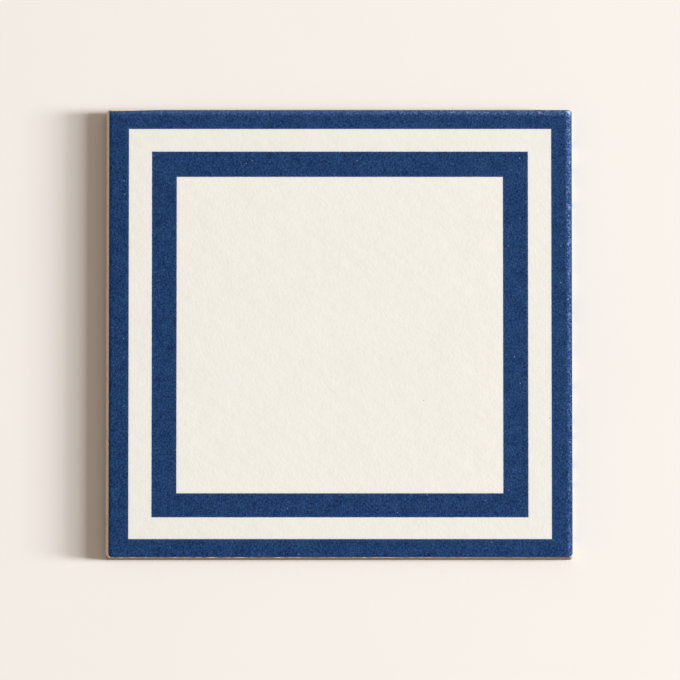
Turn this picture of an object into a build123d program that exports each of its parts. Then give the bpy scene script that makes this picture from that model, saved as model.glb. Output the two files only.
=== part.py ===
from build123d import *
import os

# Square decorative ceramic tile, pressed from clay dust, glazed and fired as one piece.
# It lies on its back: the decorated face looks up along +Z, and the origin is the middle of the back.
# Lengths are in millimetres and angles in degrees.

# Outside
tile_side = 200.0  # square, from one edge land to the other
tile_thickness = 6.5  # from the back ribs to the decorated face
corner_radius = 1.2  # plan rounding of the four upright corners
roll_width = 2.5  # strip along the edge where the face rolls down
roll_drop = 0.9  # how far the roll has come down where it meets the side
face_corner_radius = 0.2  # plan rounding of the flat face, inside the roll
arris_radius = 0.3  # rounding between the roll and the side
edge_land = 2.0  # upright band of the side that meets a spacer or the joint's grout
side_draft = 2.0  # lean of the side below the land, towards the back
back_chamfer = 0.5  # height of the broken lower edge
back_chamfer_angle = 45.0  # lean of the broken edge from upright

# Keyed back
back_border = 8.0  # plain margin from the tile's side to the outermost pockets
pocket_rows = 6  # pockets along each side; an even number leaves a rib on the middle
rib_width = 3.0  # land between two pockets, at the back plane
pocket_depth = 0.8
pocket_corner_radius = 3.0  # at the back plane
pocket_wall_draft = 30.0  # lean of the pocket walls from upright

# Worked out from the sizes above
roll_radius = (roll_width**2 + roll_drop**2) / (2 * roll_drop)
rolled_side = tile_side + 2 * (roll_radius - roll_width)
shoulder_height = tile_thickness - roll_drop - edge_land
pocket_pitch = (tile_side - 2 * back_border + rib_width) / pocket_rows
pocket_mouth = pocket_pitch - rib_width


def rolled_face():
    """The upper die's shape: a wider block whose rounded edge is the roll, before the tile's sides cut it short."""
    plan = RectangleRounded(rolled_side, rolled_side, roll_radius + face_corner_radius)
    block = extrude(plan, amount=tile_thickness)
    return fillet(block.faces().sort_by(Axis.Z)[-1].edges(), roll_radius)


def pressed_body():
    """The block as it leaves the press: rolled face, upright land, drafted side and a broken lower edge."""
    plan = Plane.XY.offset(shoulder_height) * RectangleRounded(tile_side, tile_side, corner_radius)
    upright = extrude(plan, amount=tile_thickness - shoulder_height)
    roll = rolled_face()
    above_shoulder = upright & roll
    arris = new_edges(upright, roll, combined=above_shoulder)
    above_shoulder = fillet(arris, arris_radius)
    drafted = extrude(plan, amount=shoulder_height - back_chamfer, dir=(0, 0, -1), taper=side_draft)
    foot = drafted.faces().sort_by(Axis.Z)[0]
    broken_edge = extrude(foot, amount=back_chamfer, taper=back_chamfer_angle)
    return above_shoulder + drafted + broken_edge


def back_pockets():
    """The shallow pockets of the keyed back, with drafted walls that let the punch pull out."""
    mouth = RectangleRounded(pocket_mouth, pocket_mouth, pocket_corner_radius)
    pocket = extrude(mouth, amount=pocket_depth, taper=pocket_wall_draft)
    places = GridLocations(pocket_pitch, pocket_pitch, pocket_rows, pocket_rows)
    return [place * pocket for place in places]


tile = pressed_body() - back_pockets()

os.makedirs("parts", exist_ok=True)
export_step(tile, "parts/tile.step")
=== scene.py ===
"""A square glazed tile: its pressed body, the print and glaze on its face, and a plain stage for it."""

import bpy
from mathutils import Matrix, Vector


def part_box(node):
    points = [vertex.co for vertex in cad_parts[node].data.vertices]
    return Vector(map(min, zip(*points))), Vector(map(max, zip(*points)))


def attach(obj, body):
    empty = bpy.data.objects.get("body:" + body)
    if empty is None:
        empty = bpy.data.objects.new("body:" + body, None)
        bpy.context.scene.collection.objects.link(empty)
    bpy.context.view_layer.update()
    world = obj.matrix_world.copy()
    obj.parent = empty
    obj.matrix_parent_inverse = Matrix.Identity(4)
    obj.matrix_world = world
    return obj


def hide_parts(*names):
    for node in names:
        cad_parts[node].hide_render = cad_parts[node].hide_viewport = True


bl_info = {
    "name": "Glazed Frame Tile",
    "version": (1, 0, 0),
    "blender": (4, 5, 0),
    "location": "3D View > Sidebar > Tile",
    "description": "Builds a pressed ceramic tile with printed frames, and a plain stage around it",
    "category": "Object",
}

import math

import bmesh
import bpy
from bpy.props import FloatProperty, FloatVectorProperty, IntProperty, PointerProperty
from mathutils import Matrix, Vector, noise

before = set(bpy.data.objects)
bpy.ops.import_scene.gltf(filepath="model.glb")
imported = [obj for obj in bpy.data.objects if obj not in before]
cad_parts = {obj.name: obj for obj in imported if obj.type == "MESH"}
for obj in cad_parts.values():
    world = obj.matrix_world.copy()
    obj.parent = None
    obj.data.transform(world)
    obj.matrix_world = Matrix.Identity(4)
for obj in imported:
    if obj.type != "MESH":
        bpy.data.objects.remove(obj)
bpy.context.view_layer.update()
tile_low, tile_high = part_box("tile")

MM = 0.001
TINY = 1e-6
ARRIS_STEPS = 4  # faces across the rounding of the arris
POCKET_STEPS = 5  # faces around a pocket's corner
SIDE_ROWS = 4  # rows of faces down the drafted side
ARRIS_ANGLE = math.radians(25)  # an edge of the rim that turns more than this is the arris
SHARP_ANGLE = math.radians(30)  # an edge that turns more than this is shaded sharp
ROOT_BODY = "root"
TILE_NODE = "tile"


def linear(red, green, blue):
    """A colour given in screen values from 0 to 255, as the linear values that shaders and lamps take."""
    return tuple(
        c / 12.92 if c <= 0.04045 else ((c + 0.055) / 1.055) ** 2.4
        for c in (red / 255, green / 255, blue / 255)
    )


def length(name, description, millimetres):
    """A length that a user may set, with its default in millimetres."""
    return FloatProperty(
        name=name,
        description=description,
        default=millimetres * MM,
        min=0.0,
        precision=5,
        subtype="DISTANCE",
        unit="LENGTH",
    )


def plan(name, description, width, height):
    """A width and height on the face, with their defaults in millimetres."""
    return FloatVectorProperty(
        name=name,
        description=description,
        default=(width * MM, height * MM),
        size=2,
        precision=5,
        unit="LENGTH",
    )


def turn(name, description, degrees):
    """An angle that a user may set, with its default in degrees."""
    return FloatProperty(
        name=name,
        description=description,
        default=math.radians(degrees),
        subtype="ANGLE",
        unit="ROTATION",
    )


def tint(name, description, red, green, blue):
    """A colour that a user may set, with its default in screen values."""
    return FloatVectorProperty(
        name=name,
        description=description,
        default=linear(red, green, blue),
        min=0.0,
        max=1.0,
        size=3,
        subtype="COLOR",
    )


def amount(name, description, default):
    """A plain number that a user may set."""
    return FloatProperty(name=name, description=description, default=default, min=0.0, precision=4)


def count(name, description, default, least):
    """A whole number that a user may set."""
    return IntProperty(name=name, description=description, default=default, min=least)


class PressedSizes(bpy.types.PropertyGroup):
    """Sizes of the pressed body."""

    side: length("Side", "From one edge land to the other", (tile_high.x - tile_low.x) / MM)
    thickness: length("Thickness", "From the back ribs to the face", (tile_high.z - tile_low.z) / MM)
    corner_radius: length("Corner Radius", "Rounding of the four upright corners", 1.2)
    roll_width: length("Roll Width", "Strip along the edge where the face rolls down", 2.5)
    roll_drop: length("Roll Drop", "How far the roll has come down at the side", 0.9)
    face_corner: length("Face Corner", "Rounding of the flat face's corners, inside the roll", 0.2)
    arris_radius: length("Arris Radius", "Rounding between the roll and the side", 0.3)
    edge_land: length("Edge Land", "Height of the upright band under the rim", 2.0)
    side_draft: turn("Side Draft", "Lean of the side below the land", 2.0)
    foot_chamfer: length("Foot Chamfer", "Height of the broken lower edge", 0.5)
    back_border: length("Back Border", "Plain margin around the pockets of the back", 8.0)
    pocket_rows: count("Pocket Rows", "Pockets along each side", 6, 1)
    rib_width: length("Rib Width", "Land between two pockets of the back", 3.0)
    pocket_depth: length("Pocket Depth", "Depth of the back's pockets", 0.8)
    pocket_corner: length("Pocket Corner", "Rounding of a pocket's corners", 3.0)
    pocket_draft: turn("Pocket Draft", "Lean of a pocket's walls", 30.0)
    face_cells: count("Face Cells", "Cells along each side of the face", 256, 8)
    roll_cells: count("Roll Cells", "Cells across the roll", 6, 2)


class GlazeRelief(bpy.types.PropertyGroup):
    """Unevenness of the glaze."""

    fold_height: length("Fold Height", "Height of the glaze's folds over the hollows", 0.05)
    fold_span: length("Fold Span", "Width of the largest folds", 4.0)
    fold_turn: turn("Fold Turn", "From the right of the picture to the line across the folds", 64.0)
    fold_stretch: amount("Fold Stretch", "How much longer than wide a fold is", 2.5)
    cream_span: length("Cream Span", "Width of a ripple in the cream", 0.9)
    cream_depth: length("Cream Depth", "Depth of the ripples in the cream", 0.035)
    cream_turn: turn("Cream Turn", "From the right of the picture to the line across the ripples", 42.0)
    cream_stretch: amount("Cream Stretch", "How much longer than wide a ripple is", 1.7)
    blue_span: length("Blue Span", "Width of a grain in the blue", 0.95)
    blue_depth: length("Blue Depth", "Depth of the grain in the blue", 0.3)
    bead_span: length("Bead Span", "Width of a bead of glaze along the rim", 1.8)
    bead_depth: length("Bead Depth", "Depth between the beads along the rim", 0.25)
    bead_strip: length("Bead Strip", "Strip along the edges where the glaze stands in beads", 4.0)
    mottle_span: length("Mottle Span", "Width of the glaze's small blotches", 4.0)
    cloud_span: length("Cloud Span", "Width of the glaze's wide clouds", 30.0)


class PrintSizes(bpy.types.PropertyGroup):
    """Sizes of the print on the face."""

    opening: plan("Outer Opening", "Width and height inside the outer blue frame", 181.45, 183.4)
    opening_place: plan("Opening Place", "Middle of the outer opening on the face", 0.37, -0.59)
    inner_frame: plan("Inner Frame", "Width and height of the inner blue frame", 161.6, 163.6)
    inner_place: plan("Inner Place", "Middle of the inner blue frame on the face", 0.32, -0.83)
    field: plan("Field", "Width and height of the plain field in the middle", 140.1, 141.5)
    field_place: plan("Field Place", "Middle of the plain field on the face", 0.27, -1.15)
    edge_blur: length("Edge Blur", "Width over which blue turns to cream", 0.16)
    edge_wander: length("Edge Wander", "How far the grain moves the edge of the blue", 0.25)
    bleed_width: length("Bleed Width", "How far the blue and the cream stain each other", 1.5)
    bare_left: length("Bare Left", "Bare clay between the left edge and the glaze", 1.1)
    corner_left: length("Left Corner", "Rounding of the glaze at the left front corner", 1.7)
    corner_right: length("Right Corner", "Rounding of the glaze at the right front corner", 3.0)
    bare_rear: length("Bare Rear", "Bare clay along the rear edge, at its left end", 0.9)
    bare_reach: length("Bare Reach", "How far that clay shows along the rear edge", 40.0)
    # Painted highlight: the next two sizes set the lighter strip painted along the rear and right rims.
    lit_rims_width: length("Thin Width", "Strip along the rear and right edges where the glaze runs thin", 5.2)
    lit_rims_shift: length("Thin Shift", "How much narrower that strip is along the right edge", 3.3)
    # Painted highlight: the next three sizes place the pale strip and triangle painted over the rear and
    # right rim in place of a glint.
    highlight_width: length("Break Width", "Strip where the glaze breaks pale over the rim", 3.0)
    highlight_reach: length("Break Reach", "How far from the rear right corner the glaze breaks more", 140.0)
    highlight_corner: length("Break Corner", "Legs of the pale triangle in the rear right corner", 4.1)
    glaze_skirt: length("Glaze Skirt", "How far the glaze runs down the side from the face", 1.5)
    right_run: length("Right Run", "How much further the glaze has run down the right side", 3.4)
    skirt_wander: length("Skirt Wander", "Unevenness of the glaze's lower line", 0.5)
    run_wander: amount("Run Wander", "Unevenness of the glaze that has run down the right side", 2.5)


class GlazeSpecks(bpy.types.PropertyGroup):
    """Specks of the glaze, each in a cell of its own."""

    fleck_span: length("Fleck Span", "Width of a cell for a light fleck in the blue", 1.8)
    fleck_radius: length("Fleck Radius", "Radius of a light fleck", 0.32)
    fleck_share: amount("Fleck Share", "Share of the cells that hold a light fleck", 0.3)
    # Painted glints: the next three set the pale specks painted in the blue.
    glint_span: length("Pale Span", "Width of a cell for a pale speck in the blue", 2.5)
    glint_radius: length("Pale Radius", "Radius of a pale speck", 0.28)
    glint_share: amount("Pale Share", "Share of the cells that hold a pale speck", 0.12)
    pinhole_span: length("Pinhole Span", "Width of a cell for a pinhole", 9.0)
    pinhole_radius: length("Pinhole Radius", "Radius of a pinhole", 0.35)
    pinhole_share: amount("Pinhole Share", "Share of the cells that hold a pinhole", 0.04)


class GlazeShares(bpy.types.PropertyGroup):
    """How strongly each cause shows in the colour and gloss of the glazes and the clay, painted highlights
    and shade among them.
    """

    stain_even: amount("Even Stain", "Stain all over the cream", 0.08)
    stain_ripple: amount("Ripple Stain", "Stain of the cream's ripples", 0.55)
    stain_mottle: amount("Mottle Stain", "Stain of the cream's small blotches", 0.3)
    stain_cloud: amount("Cloud Stain", "Stain of the cream's wide clouds", 0.4)
    stain_grain: amount("Grain Stain", "Stain of the cream's fine grain", 0.4)
    haze_border: amount("Border Haze", "Blue in the cream beside a border of the print", 0.05)
    haze_band: amount("Band Haze", "Blue in the cream between the two frames", 0.015)
    tone_even: amount("Even Tone", "Lightness all over the blue", 0.31)
    tone_grain: amount("Grain Tone", "Lightness of the blue's grains", 1.9)
    tone_fleck: amount("Fleck Tone", "Lightness of the blue's flecks", 0.65)
    tone_mottle: amount("Mottle Tone", "Lightness of the blue's small blotches", 0.45)
    tone_border: amount("Border Tone", "Lightness of the blue beside a border of the print", 0.15)
    # Painted light: the blue is painted lighter towards the right edge, the side the light comes from.
    tone_lit_right: amount("Right Tone", "Lightness that the blue gains from the middle to the right edge", 0.03)
    # Painted highlight: lightness of the strip painted along the rear and right rims.
    tone_lit_rims: amount("Thin Tone", "Lightness of the blue where it runs thin at the rear and the right", 1.2)
    # Painted highlight: the next two make the right rim lighter near the rear right corner and a little
    # darker along the rest.
    tone_lit_corner: amount("Corner Tone", "Lightness of the right rim near the rear right corner", 0.25)
    rim_light_loss: amount("Rim Tone", "What the right rim loses of that lightness all along", 0.04)
    # Painted shade: a darker line along the outermost strip of the right edge.
    shade_right_edge: amount("Rim Pool", "Depth of the blue that pools at the foot of the right rim", 0.3)
    pool_side: amount("Side Pool", "Depth of the blue that has run down a side", 0.2)
    # Painted glint: how pale the painted glint specks in the blue are.
    glint_speck: amount("Pale Speck", "Paleness of the specks in the blue", 0.5)
    # Painted highlight: the next four shares set the pale crests and corner painted over the rim in place of
    # a glint.
    highlight_far: amount("Far Break", "Share of the breaks that is left far from the rear right corner", 0.25)
    highlight_beads: amount("Bead Break", "Share of the beads in where the glaze breaks", 0.2)
    highlight_crest: amount("Crest Break", "Paleness of the breaks on top of the grains", 0.5)
    highlight_corner: amount("Corner Break", "Paleness of the rear right corner", 0.9)
    # The next two make the upper line of the painted shade on the clay uneven.
    clay_mottle: amount("Clay Mottle", "Unevenness of the dark clay's upper line", 0.5)
    clay_grain: amount("Clay Grain", "Fine unevenness of the dark clay's upper line", 0.3)
    # Painted shade: darker clay down the right side, which the lamps light most.
    shade_right_clay: amount("Right Clay", "Darkness of the clay down the right side", 0.85)
    shine: amount("Shine", "Strength of the reflection on the surface", 0.06)
    rough_cream: amount("Cream Roughness", "Roughness of the cream glaze", 0.5)
    rough_grain: amount("Grain Roughness", "Unevenness of the roughness", 0.2)
    rough_clay: amount("Clay Roughness", "Roughness of the bare clay", 0.9)
    gloss_blue: amount("Blue Gloss", "How much smoother than the cream the blue is", 0.28)


class TileColours(bpy.types.PropertyGroup):
    """Colours of the glazes and the clay."""

    cream: tint("Cream", "Plain glaze of the face", 242.9, 238.7, 229.8)
    cream_stain: tint("Cream Stain", "Cream where it is thin or stained", 236, 226, 207)
    blue_deep: tint("Deep Blue", "Blue in the hollows between grains", 13, 42, 84)
    blue_light: tint("Light Blue", "Blue on top of the grains", 53, 88, 136)
    clay: tint("Clay", "Bare fired body beside the glaze", 247, 229, 205)
    # Painted shade: the clay's colour in the painted shade near the foot and down the right side.
    shaded_clay: tint("Dark Clay", "Bare fired body near the foot and down the right side", 142, 126, 108)
    pinhole: tint("Pinhole", "Clay that shows in a pinhole", 176, 132, 104)
    # Painted highlight: pale blue of the painted glints, over the rim and in specks.
    painted_glint: tint("Glint", "Blue where it breaks pale, and its specks", 166, 186, 216)


class StageSettings(bpy.types.PropertyGroup):
    """The floor, the light and the camera."""

    floor_colour: tint("Floor", "Colour of the floor and of the far background", 247.4, 239.9, 232.9)
    floor_half: length("Floor Half", "From the middle of the floor to its edge", 6000.0)
    floor_cloud: length("Floor Cloud", "Width of the floor's faint clouds", 80.0)
    floor_dulling: amount("Floor Dulling", "How much darker the floor's clouds are", 0.01)
    floor_roughness: amount("Floor Roughness", "Roughness of the matte floor", 0.9)
    sky: FloatVectorProperty(
        name="Sky",
        description="Share of the light that comes evenly from all round. The lamps give the rest",
        default=(0.33, 0.285, 0.245),
        min=0.0,
        max=1.0,
        size=3,
        subtype="COLOR",
    )
    lamp_azimuth: turn("Lamp Azimuth", "From the right of the picture towards its top", -3.0)
    key_elevation: turn("Key Elevation", "Height of the key lamp over the floor", 22.0)
    key_size: plan("Key Size", "Width and height of the key lamp", 1600.0, 3900.0)
    low_share: amount("Low Share", "Share of the lamps' light that the low lamp gives the face", 0.36)
    low_elevation: turn("Low Elevation", "Height of the low lamp over the floor", 14.5)
    low_size: plan("Low Size", "Width and height of the low lamp", 1600.0, 1540.0)
    lamp_distance: length("Lamp Distance", "From the tile to the lamps", 8000.0)
    view_elevation: turn("View Elevation", "Height of the camera over the floor", 73.65)
    view_width: length("View Width", "Width of what the camera sees at the tile", 291.98)
    view_aim: plan("View Aim", "Middle of the picture on the floor", 0.35, -1.55)
    lens: FloatProperty(name="Lens", description="Focal length in millimetres", default=1600.0, min=1.0)


def open_edges(bm):
    """The edges that only one face uses."""
    return [edge for edge in bm.edges if edge.is_boundary]


def grow(bm, edges, height, spread):
    """Extrude open edges to a new height, spread them from the middle and return the new open edges."""
    made = bmesh.ops.extrude_edge_only(bm, edges=edges)["geom"]
    verts = [part for part in made if isinstance(part, bmesh.types.BMVert)]
    drop = height - verts[0].co.z
    bmesh.ops.scale(bm, vec=(spread, spread, 1.0), verts=verts)
    bmesh.ops.translate(bm, vec=(0.0, 0.0, drop), verts=verts)
    return [part for part in made if isinstance(part, bmesh.types.BMEdge) and part.is_boundary]


def soften(bm, geom, radius, segments, affect="EDGES"):
    """Round edges or corners by a radius."""
    return bmesh.ops.bevel(
        bm,
        geom=geom,
        offset=radius,
        offset_type="OFFSET",
        segments=segments,
        profile=0.5,
        affect=affect,
        material=-1,
    )


def shoulder_height(sizes):
    """Height of the lower end of the upright land."""
    return sizes.thickness - sizes.roll_drop - sizes.edge_land


def lay_face(bm, sizes):
    """The face as a level grid, with finer cells in the strip along the edge that rolls down."""
    half = sizes.side / 2
    flat = half - sizes.roll_width
    pitch = 2 * flat / sizes.face_cells
    strip = sizes.roll_cells * pitch
    lines = sizes.face_cells + 2 * sizes.roll_cells
    place = Matrix.Translation((0.0, 0.0, sizes.thickness))
    bmesh.ops.create_grid(bm, x_segments=lines, y_segments=lines, size=flat + strip, matrix=place)
    for axis in (0, 1):
        squeeze = Vector((1.0, 1.0, 1.0))
        squeeze[axis] = sizes.roll_width / strip
        for sign in (-1, 1):
            edge_of_flat = Vector()
            edge_of_flat[axis] = sign * flat
            outside = [vert for vert in bm.verts if vert.co[axis] * sign > flat + TINY]
            bmesh.ops.scale(bm, vec=squeeze, space=Matrix.Translation(-edge_of_flat), verts=outside)


def round_corners(bm, sizes):
    """Draw the grid in towards each corner's centre, so that square rings around it become round ones."""
    centre = sizes.side / 2 - sizes.corner_radius
    for vert in bm.verts:
        across, along = (abs(co) - centre for co in vert.co.xy)
        if across > 0.0 and along > 0.0:
            pull = max(across, along) / math.hypot(across, along)
            vert.co.x = math.copysign(centre + across * pull, vert.co.x)
            vert.co.y = math.copysign(centre + along * pull, vert.co.y)


def roll_face(bm, sizes):
    """Stand the face on its upright land and lower the strip along the edge into its roll."""
    grow(bm, open_edges(bm), shoulder_height(sizes), 1.0)
    radius = (sizes.roll_width**2 + sizes.roll_drop**2) / (2 * sizes.roll_drop)
    start = sizes.side / 2 - sizes.roll_width - sizes.face_corner
    for vert in bm.verts:
        if vert.co.z < sizes.thickness - TINY:
            continue
        past = Vector(max(abs(co) - start, 0.0) for co in vert.co.xy)
        reach = max(past.length - sizes.face_corner, 0.0)
        vert.co.z -= radius - math.sqrt(radius**2 - reach**2)
    bm.normal_update()
    arris = [
        edge
        for edge in bm.edges
        if edge.is_manifold
        and edge.calc_face_angle() > ARRIS_ANGLE
        and min(vert.co.z for vert in edge.verts) > shoulder_height(sizes) + TINY
    ]
    soften(bm, arris, sizes.arris_radius, ARRIS_STEPS)


def draft_side(bm, sizes):
    """The side below the land: rows that lean in towards the back, then the broken lower edge."""
    half = sizes.side / 2
    shoulder = shoulder_height(sizes)
    edges = open_edges(bm)
    reach = half
    for row in range(1, SIDE_ROWS + 1):
        depth = (shoulder - sizes.foot_chamfer) * row / SIDE_ROWS
        next_reach = half - depth * math.tan(sizes.side_draft)
        edges = grow(bm, edges, shoulder - depth, next_reach / reach)
        reach = next_reach
    grow(bm, edges, 0.0, (reach - sizes.foot_chamfer) / reach)


def press_pockets(bm, sizes):
    """The keyed back: drafted pockets in rows, and the ribs and margin that join them to the side."""
    rows = sizes.pocket_rows
    pitch = (sizes.side - 2 * sizes.back_border + sizes.rib_width) / rows
    half_mouth = (pitch - sizes.rib_width) / 2
    half_floor = half_mouth - sizes.pocket_depth * math.tan(sizes.pocket_draft)
    shrink = half_floor / half_mouth
    first = -pitch * (rows - 1) / 2
    for row in range(rows):
        for column in range(rows):
            place = Matrix.Translation((first + pitch * column, first + pitch * row, 0.0))
            mouth = bmesh.ops.create_grid(bm, x_segments=1, y_segments=1, size=half_mouth, matrix=place)
            rounded = soften(bm, mouth["verts"], sizes.pocket_corner, POCKET_STEPS, "VERTICES")
            pan = list(rounded["verts"][0].link_faces)
            floor = bmesh.ops.extrude_discrete_faces(bm, faces=pan)["faces"]
            verts = list({vert for face in floor for vert in face.verts})
            bmesh.ops.scale(bm, vec=(shrink, shrink, 1.0), space=place.inverted(), verts=verts)
            bmesh.ops.translate(bm, vec=(0.0, 0.0, sizes.pocket_depth), verts=verts)
    bmesh.ops.triangle_fill(bm, use_beauty=True, edges=open_edges(bm), normal=(0.0, 0.0, -1.0))


def fold_glaze(bm, relief):
    """The long low folds of the glaze over the face, always below the pressed height."""
    bm.normal_update()
    smoothness, lacunarity, octaves = 0.45, 2.0, 3
    facing_up = 0.5  # steeper parts keep the pressed shape
    across = Matrix.Rotation(-relief.fold_turn, 3, "Z")
    shape = Vector((1.0, 1 / relief.fold_stretch, 1.0)) / relief.fold_span
    for vert in bm.verts:
        if vert.normal.z < facing_up:
            continue
        fold = noise.fractal((across @ vert.co) * shape, smoothness, lacunarity, octaves)
        vert.co -= vert.normal * (relief.fold_height * max(0.5 - 0.5 * fold, 0.0))


def shade_edges(bm):
    """Smooth shading, broken only at the edges that the press leaves sharp."""
    bmesh.ops.recalc_face_normals(bm, faces=bm.faces)
    for face in bm.faces:
        face.smooth = True
    for edge in bm.edges:
        edge.smooth = edge.calc_face_angle(0.0) < SHARP_ANGLE


class Shade:
    """A socket of a material's nodes. Sums on it add the Math nodes that work them out."""

    def __init__(self, tree, socket):
        self.tree = tree
        self.socket = socket

    def node(self, kind, settings, inputs, output=0):
        """Add a node: its settings first, then the values or links of its sockets."""
        made = self.tree.nodes.new(kind)
        for name, value in settings.items():
            setattr(made, name, value)
        for key, value in inputs.items():
            if isinstance(value, Shade):
                self.tree.links.new(value.socket, made.inputs[key])
            else:
                made.inputs[key].default_value = value
        return Shade(self.tree, made.outputs[output])

    def math(self, operation, *values):
        return self.node("ShaderNodeMath", {"operation": operation}, dict(enumerate(values)))

    def __add__(self, other):
        return self.math("ADD", self, other)

    def __sub__(self, other):
        return self.math("SUBTRACT", self, other)

    def __mul__(self, other):
        return self.math("MULTIPLY", self, other)

    __radd__ = __add__
    __rmul__ = __mul__

    def __rsub__(self, other):
        return self.math("SUBTRACT", other, self)

    def __abs__(self):
        return self.math("ABSOLUTE", self)

    def top(self, other):
        return self.math("MAXIMUM", self, other)

    def low(self, other):
        return self.math("MINIMUM", self, other)

    def hypot(self, other):
        return self.math("SQRT", self * self + other * other)

    def rise(self, start, end):
        """A smooth step from 0 at start to 1 at end."""
        return self.node(
            "ShaderNodeMapRange",
            {"interpolation_type": "SMOOTHSTEP"},
            {"Value": self, "From Min": start, "From Max": end},
        )

    def mix(self, first, second):
        """The first colour where this is 0, the second where it is 1."""
        factor, a, b, result = 0, 6, 7, 2
        return self.node("ShaderNodeMix", {"data_type": "RGBA"}, {factor: self, a: first, b: second}, result)

    def blend(self, first, second):
        """The first value where this is 0, the second where it is 1."""
        factor, a, b = 0, 2, 3
        return self.node("ShaderNodeMix", {"data_type": "FLOAT"}, {factor: self, a: first, b: second})

    def noise(self, span, detail=2.0, roughness=0.5):
        """Noise of a given span on these coordinates, around 0."""
        inputs = {"Vector": self, "Scale": 1 / span, "Detail": detail, "Roughness": roughness}
        return self.node("ShaderNodeTexNoise", {}, inputs) - 0.5

    def specks(self, span, share, radius):
        """Round specks of a given radius in a share of the cells of a given span."""
        full = 0.6  # share of the radius inside which a speck has its full strength
        settings = {"feature": "F1", "voronoi_dimensions": "3D"}
        inputs = {"Vector": self, "Scale": 1 / span}
        distance = self.node("ShaderNodeTexVoronoi", settings, inputs, "Distance")
        colour = self.node("ShaderNodeTexVoronoi", settings, inputs, "Color")
        pick = self.node("ShaderNodeSeparateColor", {}, {"Color": colour}, 0)
        return distance.rise(radius / span, full * radius / span) * pick.math("LESS_THAN", pick, share)


def rgba(colour):
    """A user's colour with full cover, as colour sockets take it."""
    return (*colour, 1.0)


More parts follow.
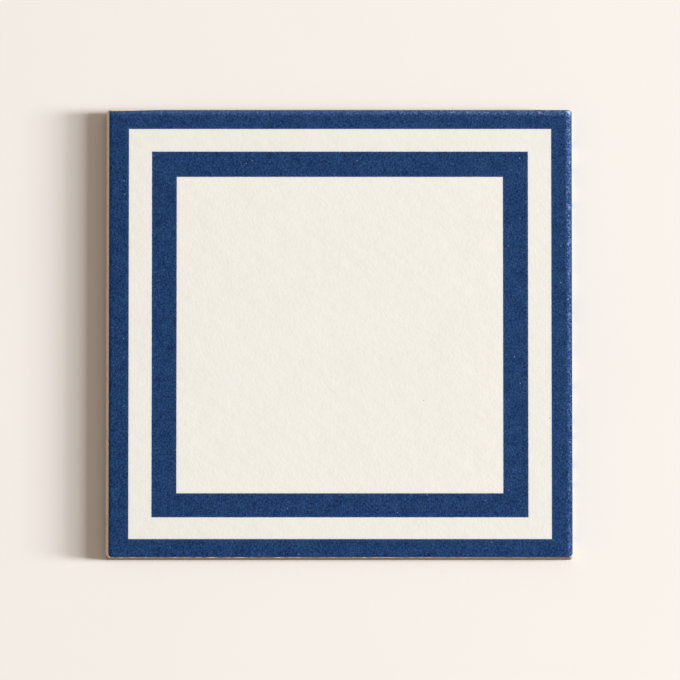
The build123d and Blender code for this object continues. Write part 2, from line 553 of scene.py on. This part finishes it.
class TileFinish:
    """What shows at each point of the tile: cream or blue glaze, or bare clay where the glaze stops, with
    painted highlights on the rims and painted shade on the right edge and the clay.
    """

    def __init__(self, tree, scene):
        self.sizes, self.relief, self.prints = scene.tile_sizes, scene.tile_relief, scene.tile_print
        self.specks, self.shares, self.colours = scene.tile_specks, scene.tile_shares, scene.tile_colours
        start = Shade(tree, None)
        self.place = start.node("ShaderNodeTexCoord", {}, {}, "Object")
        self.x, self.y, self.z = (
            start.node("ShaderNodeSeparateXYZ", {}, {"Vector": self.place}, axis) for axis in "XYZ"
        )
        self.half = self.sizes.side / 2
        self.from_right, self.from_rear = self.half - self.x, self.half - self.y
        self.blur = self.prints.edge_blur / 2
        self.ruffle_glaze()
        self.print_frames()
        self.coat_clay()
        self.paint_rim_highlight()

    def ruffle_glaze(self):
        """The patterns of the glaze: grain, ripples, blotches, clouds and beads."""
        relief, place = self.relief, self.place
        turned = {
            "Vector": place,
            "Rotation": (0.0, 0.0, relief.cream_turn),
            "Scale": (1.0, relief.cream_stretch, 1.0),
        }
        across_ripples = place.node("ShaderNodeMapping", {"vector_type": "TEXTURE"}, turned)
        self.grain = place.noise(relief.blue_span, detail=2.0, roughness=0.8)
        self.ripple = across_ripples.noise(relief.cream_span, detail=1.0)
        self.mottle = place.noise(relief.mottle_span, detail=1.0)
        self.cloud = place.noise(relief.cloud_span, detail=2.0)
        self.beads = place.noise(relief.bead_span, detail=1.0)
        self.wander = self.grain * self.prints.edge_wander

    def print_frames(self):
        """Where the print is blue, and how far its borders are."""
        prints, wander, blur = self.prints, self.wander, self.blur
        outlines = (
            (prints.opening, prints.opening_place),
            (prints.inner_frame, prints.inner_place),
            (prints.field, prints.field_place),
        )
        opening, inner, field = (
            (abs(self.x - middle[0]) - size[0] / 2).top(abs(self.y - middle[1]) - size[1] / 2)
            for size, middle in outlines
        )
        outer_blue = (opening + wander).rise(-blur, blur)
        inner_blue = (inner + wander).rise(blur, -blur) * (field + wander).rise(-blur, blur)
        self.blue = outer_blue.top(inner_blue)
        self.border = abs(opening).low(abs(inner)).low(abs(field))
        self.bleed = self.border.rise(prints.bleed_width, 0.0)
        self.outside_inner = inner.rise(0.0, prints.bleed_width)

    def coat_clay(self):
        """Where glaze covers the clay: short of the left edge and front corners, run down the right."""
        sizes, prints, half, x = self.sizes, self.prints, self.half, self.x
        past_edge = half + prints.edge_wander
        from_side = (x + (half - prints.bare_left)).low(past_edge - x)
        from_front = self.y + past_edge
        corner = x.rise(-half, half) * (prints.corner_right - prints.corner_left) + prints.corner_left
        coat = corner - (corner - from_side).top(0.0).hypot((corner - from_front).top(0.0))
        rear = past_edge - self.y - x.rise(prints.bare_reach - half, -half) * prints.bare_rear
        past_corner = from_front.rise(prints.corner_right, 3 * prints.corner_right)
        dribble = (1 + self.mottle * prints.run_wander) * past_corner
        run = x.rise(half - prints.corner_right, half) * dribble * prints.right_run
        skirt = self.z - (sizes.thickness - prints.glaze_skirt) + run + self.mottle * prints.skirt_wander
        self.glazed = (coat.low(rear) + self.wander).low(skirt).rise(-self.blur, self.blur)

    def paint_rim_highlight(self):
        """Painted highlight: where the blue is painted pale over the rear and right rim, most of all near
        their corner.
        """
        shares, width, legs = self.shares, self.prints.highlight_width, self.prints.highlight_corner
        outermost, inside, rear_shift = 0.08 * width, 0.3 * width, 0.2 * width
        # Heights of the grain where the painted highlight on the grains starts and where it is full.
        no_highlight, broken = -0.05, 0.25  # heights of the grain
        full_legs = 0.6 * legs
        from_edge = self.from_right.low(self.from_rear)
        self.near_corner = self.from_right.hypot(self.from_rear).rise(self.prints.highlight_reach, 0.0)
        strength = shares.highlight_far + self.near_corner * (1 - shares.highlight_far)
        tops = (self.grain + self.beads * shares.highlight_beads).rise(no_highlight, broken)
        inset = self.from_right.low(self.from_rear + rear_shift).rise(outermost, inside)
        crest = from_edge.rise(width, width / 2) * strength * tops * inset
        corner = (self.from_right + self.from_rear).rise(legs, full_legs) * from_edge.rise(outermost, inside)
        # self.broken is painted highlight: pale crests on the grains along the rear and right rims, and a
        # pale triangle in the rear right corner.
        self.broken = (crest * shares.highlight_crest).top(corner * shares.highlight_corner)

    def cream_glaze(self):
        """Cream with its stains, and a blue haze beside the print."""
        shares, colours = self.shares, self.colours
        stain = shares.stain_even + self.ripple * shares.stain_ripple + self.mottle * shares.stain_mottle
        stain = stain + self.cloud * shares.stain_cloud + self.grain * shares.stain_grain
        cream = stain.mix(rgba(colours.cream), rgba(colours.cream_stain))
        haze = self.bleed * shares.haze_border + self.outside_inner * shares.haze_band
        return haze.mix(cream, rgba(colours.blue_light))

    def blue_glaze(self):
        """Blue, lighter on its grains and flecks, with painted light: painted highlight towards the right
        edge and along the rear and right rims, painted shade along the outer right edge, and painted glints
        in specks and over the rim.
        """
        prints, specks, shares, colours = self.prints, self.specks, self.shares, self.colours
        fleck = self.place.specks(specks.fleck_span, specks.fleck_share, specks.fleck_radius)
        tone = shares.tone_even + self.grain * shares.tone_grain + fleck * shares.tone_fleck
        tone = tone + self.mottle * shares.tone_mottle + self.bleed * shares.tone_border
        # Painted light: lighter towards the right edge.
        tone = tone + self.x * (shares.tone_lit_right / self.half)
        thickness, width = self.sizes.thickness, prints.highlight_width
        on_face = self.z.rise(thickness - prints.glaze_skirt, thickness - self.sizes.roll_drop)
        # Painted highlight: thin is the lighter strip along the rear and right rims, on the face and roll
        # only.
        thin = (self.from_right + prints.lit_rims_shift).low(self.from_rear).rise(prints.lit_rims_width, 0.0)
        tone = tone + thin * thin * thin * on_face * shares.tone_lit_rims
        # Painted highlight on the right rim: lighter near the rear right corner, a little darker far from it.
        lit_right_rim = self.from_right.rise(1.1 * width, 0.7 * width)
        tone = tone + lit_right_rim * (self.near_corner * shares.tone_lit_corner - shares.rim_light_loss)
        # Painted shade: the outermost strip of the right edge is darker. Lower down, the sides are darker
        # where the blue ran down.
        shaded_right_edge = self.from_right.rise(0.5 * width, 0.0)
        tone = tone - shaded_right_edge * shares.shade_right_edge - (1 - on_face) * shares.pool_side
        blue = tone.mix(rgba(colours.blue_deep), rgba(colours.blue_light))
        # Painted glints: pale specks in the blue.
        pale = self.place.specks(specks.glint_span, specks.glint_share, specks.glint_radius)
        # Painted highlight: the glint specks and self.broken mix the blue towards the pale glint colour.
        return (pale * shares.glint_speck).top(self.broken).mix(blue, rgba(colours.painted_glint))

    def bare_clay(self):
        """Fired clay, with painted shade: darker towards the foot and down the right side."""
        thickness, shares, colours = self.sizes.thickness, self.shares, self.colours
        pale, dark = 0.15, 0.4  # shares of the height below the face
        below = (thickness - self.z) * (1 / thickness)
        below = below + self.mottle * shares.clay_mottle + self.grain * shares.clay_grain
        # Painted shade: darker towards the foot and down the right side.
        clay_shade = below.rise(pale, dark).top(self.x.rise(0.0, self.half) * shares.shade_right_clay)
        return clay_shade.mix(rgba(colours.clay), rgba(colours.shaded_clay))

    def colour(self):
        """Glaze with its pinholes, and clay."""
        specks = self.specks
        pinholes = self.place.specks(specks.pinhole_span, specks.pinhole_share, specks.pinhole_radius)
        glaze = pinholes.mix(self.blue.mix(self.cream_glaze(), self.blue_glaze()), rgba(self.colours.pinhole))
        return self.glazed.mix(self.bare_clay(), glaze)

    def roughness(self):
        """Satin cream, smoother blue and matte clay."""
        shares = self.shares
        glaze = shares.rough_cream - self.blue * shares.gloss_blue + self.grain * shares.rough_grain
        return self.glazed * glaze + (1 - self.glazed) * shares.rough_clay

    def normal(self):
        """Ripples in the cream, grain in the blue and beads along the rim."""
        relief = self.relief
        from_rim = (self.half - abs(self.x)).low(self.half - abs(self.y))
        beaded = from_rim.rise(relief.bead_strip, relief.bead_strip / 2)
        grains = self.grain * self.border.rise(0.0, self.prints.bleed_width / 2) * relief.blue_depth
        rough_blue = grains + self.beads * beaded * relief.bead_depth
        height = (self.blue * self.glazed).blend(self.ripple * relief.cream_depth, rough_blue)
        bump = {"Strength": 1.0, "Distance": 1.0, "Height": height}
        return self.place.node("ShaderNodeBump", {}, bump, "Normal")


def tile_material(scene):
    """Cream glaze with blue printed frames, and bare clay where the glaze stops."""
    material = bpy.data.materials.new("glazed_tile")
    material.use_nodes = True
    tree = material.node_tree
    shader = tree.nodes["Principled BSDF"]
    shader.inputs["Specular IOR Level"].default_value = scene.tile_shares.shine
    finish = TileFinish(tree, scene)
    looks = {"Base Color": finish.colour(), "Roughness": finish.roughness(), "Normal": finish.normal()}
    for socket, value in looks.items():
        tree.links.new(value.socket, shader.inputs[socket])
    return material


def floor_material(stage):
    """Pale matte floor with a faint cloudiness."""
    material = bpy.data.materials.new("pale_floor")
    material.use_nodes = True
    tree = material.node_tree
    shader = tree.nodes["Principled BSDF"]
    shader.inputs["Roughness"].default_value = stage.floor_roughness
    shader.inputs["Specular IOR Level"].default_value = 0.0
    place = Shade(tree, None).node("ShaderNodeTexCoord", {}, {}, "Object")
    clear, cloudy = -0.1, 0.3  # heights of the noise
    clouds = place.noise(stage.floor_cloud).rise(clear, cloudy)
    dull = tuple((1 - stage.floor_dulling) * channel for channel in stage.floor_colour)
    colour = clouds.mix(rgba(stage.floor_colour), rgba(dull))
    tree.links.new(colour.socket, shader.inputs["Base Color"])
    return material


def add_object(name, bm, material):
    """Put a finished shape in the scene, at the origin, with its material."""
    mesh = bpy.data.meshes.new(name)
    bm.to_mesh(mesh)
    bm.free()
    mesh.materials.append(material)
    piece = bpy.data.objects.new(name, mesh)
    bpy.context.scene.collection.objects.link(piece)
    return piece


def direction(azimuth, elevation):
    """Unit vector at an azimuth from +X towards +Y and an elevation over the floor."""
    flat = math.cos(elevation)
    return Vector((flat * math.cos(azimuth), flat * math.sin(azimuth), math.sin(elevation)))


def aim(thing, target):
    """Turn a lamp or a camera to look at a point."""
    thing.rotation_euler = (target - thing.location).to_track_quat("-Z", "Y").to_euler()


def add_lamp(scene, name, place, size, light):
    """A soft oblong lamp that gives a level surface at the origin this much light, where 1 is plain white."""
    lamp = bpy.data.lights.new(name, "AREA")
    lamp.shape = "RECTANGLE"
    lamp.size, lamp.size_y = size
    strongest = max(light)
    lamp.color = [channel / strongest for channel in light]
    facing = strongest / place.normalized().z
    lost_at_ends = 1 + (lamp.size**2 + lamp.size_y**2) / (6 * place.length_squared)
    lamp.energy = facing * lost_at_ends * (math.pi * place.length) ** 2
    piece = bpy.data.objects.new(name, lamp)
    scene.collection.objects.link(piece)
    piece.location = place
    aim(piece, Vector())


class TILE_OT_press_tile(bpy.types.Operator):
    """Press, print and glaze the tile, and let it stand for its solid"""

    bl_idname = "tile.press_tile"
    bl_label = "Press Tile"

    def execute(self, context):
        scene = context.scene
        bm = bmesh.new()
        lay_face(bm, scene.tile_sizes)
        round_corners(bm, scene.tile_sizes)
        roll_face(bm, scene.tile_sizes)
        draft_side(bm, scene.tile_sizes)
        press_pockets(bm, scene.tile_sizes)
        fold_glaze(bm, scene.tile_relief)
        shade_edges(bm)
        if open_edges(bm):
            raise RuntimeError("the tile's mesh is not closed")
        piece = add_object("glazed_tile", bm, tile_material(scene))
        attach(piece, ROOT_BODY)
        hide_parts(TILE_NODE)
        return {"FINISHED"}


class TILE_OT_set_stage(bpy.types.Operator):
    """Lay the floor, set the light and place the camera"""

    bl_idname = "tile.set_stage"
    bl_label = "Set Stage"

    def execute(self, context):
        stage = context.scene.tile_stage
        bm = bmesh.new()
        bmesh.ops.create_grid(bm, x_segments=1, y_segments=1, size=stage.floor_half)
        add_object("floor", bm, floor_material(stage))
        self.light(context.scene, stage)
        self.look(context.scene, stage)
        context.scene.view_settings.view_transform = "Standard"
        return {"FINISHED"}

    def light(self, scene, stage):
        """Warm even light from all round and two lamps. Together they give the face plain white light."""
        world = bpy.data.worlds.new("studio")
        world.use_nodes = True
        scene.world = world
        tree = world.node_tree
        start = Shade(tree, None)
        rays = ("Is Camera Ray", "Is Glossy Ray", "Is Transmission Ray")
        camera, glossy, through = (start.node("ShaderNodeLightPath", {}, {}, ray) for ray in rays)
        seen = camera.top(glossy).top(through)
        colour = seen.mix(rgba(stage.sky), rgba(stage.floor_colour))
        tree.links.new(colour.socket, tree.nodes["Background"].inputs["Color"])
        lamps = (
            ("key", stage.key_elevation, stage.key_size, 1 - stage.low_share),
            ("low", stage.low_elevation, stage.low_size, stage.low_share),
        )
        for name, elevation, size, share in lamps:
            place = direction(stage.lamp_azimuth, elevation) * stage.lamp_distance
            add_lamp(scene, name, place, size, [share * (1 - channel) for channel in stage.sky])

    def look(self, scene, stage):
        """A long lens looks down on the face, with the tile's lower side a little nearer."""
        lens = bpy.data.cameras.new("camera")
        lens.lens = stage.lens
        camera = bpy.data.objects.new("camera", lens)
        scene.collection.objects.link(camera)
        target = Vector((*stage.view_aim, 0.0))
        distance = stage.view_width * stage.lens / lens.sensor_width
        camera.location = target + direction(-math.pi / 2, stage.view_elevation) * distance
        aim(camera, target)
        scene.camera = camera


class TILE_PT_panel(bpy.types.Panel):
    """The tile's sizes, colours and stage"""

    bl_idname = "TILE_PT_panel"
    bl_label = "Tile"
    bl_space_type = "VIEW_3D"
    bl_region_type = "UI"
    bl_category = "Tile"

    def draw(self, context):
        for group in SETTINGS:
            settings = getattr(context.scene, group)
            box = self.layout.box()
            for name in settings.bl_rna.properties.keys():
                if name not in ("rna_type", "name"):
                    box.prop(settings, name)
        self.layout.operator(TILE_OT_press_tile.bl_idname)
        self.layout.operator(TILE_OT_set_stage.bl_idname)


SETTINGS = {
    "tile_sizes": PressedSizes,
    "tile_relief": GlazeRelief,
    "tile_print": PrintSizes,
    "tile_specks": GlazeSpecks,
    "tile_shares": GlazeShares,
    "tile_colours": TileColours,
    "tile_stage": StageSettings,
}
CLASSES = (*SETTINGS.values(), TILE_OT_press_tile, TILE_OT_set_stage, TILE_PT_panel)


def register():
    for item in CLASSES:
        bpy.utils.register_class(item)
    for group, kind in SETTINGS.items():
        setattr(bpy.types.Scene, group, PointerProperty(type=kind))


def unregister():
    for group in SETTINGS:
        delattr(bpy.types.Scene, group)
    for item in reversed(CLASSES):
        bpy.utils.unregister_class(item)


def main():
    register()
    bpy.ops.tile.press_tile()
    bpy.ops.tile.set_stage()


if __name__ == "__main__":
    main()
